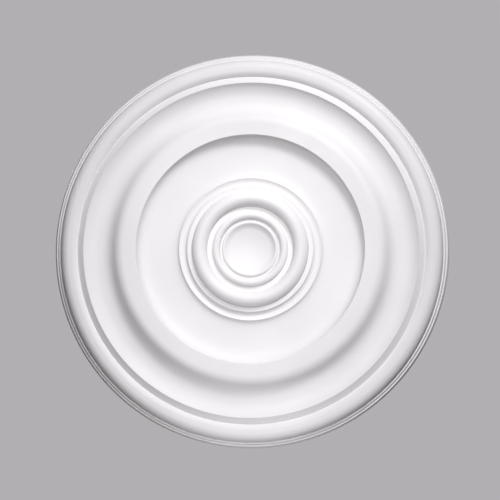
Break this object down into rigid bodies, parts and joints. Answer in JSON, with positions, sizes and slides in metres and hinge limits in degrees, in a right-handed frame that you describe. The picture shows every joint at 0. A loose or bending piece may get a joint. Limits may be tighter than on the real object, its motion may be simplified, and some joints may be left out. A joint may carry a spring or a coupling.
{
  "type": "ceiling rose",
  "caption": "Round moulded ceiling rose with concentric rings, a wide saucer and a stepped rim, that is bonded by its flat back to a ceiling.",
  "frame": {"origin": "centre of the flat back face, which is bonded to the ceiling", "axes": "+Z out of the back face, up into the ceiling, so the moulded face hangs below and looks down; +X and +Y in the ceiling's plane"},
  "size_m": [0.6, 0.6, 0.0351],
  "materials": {
    "primed_moulding": "rigid polyurethane foam moulding with a smooth factory primer, white, satin matt"
  },
  "bodies": {
    "root": {"rose": "primed_moulding"}
  },
  "joints": []
}
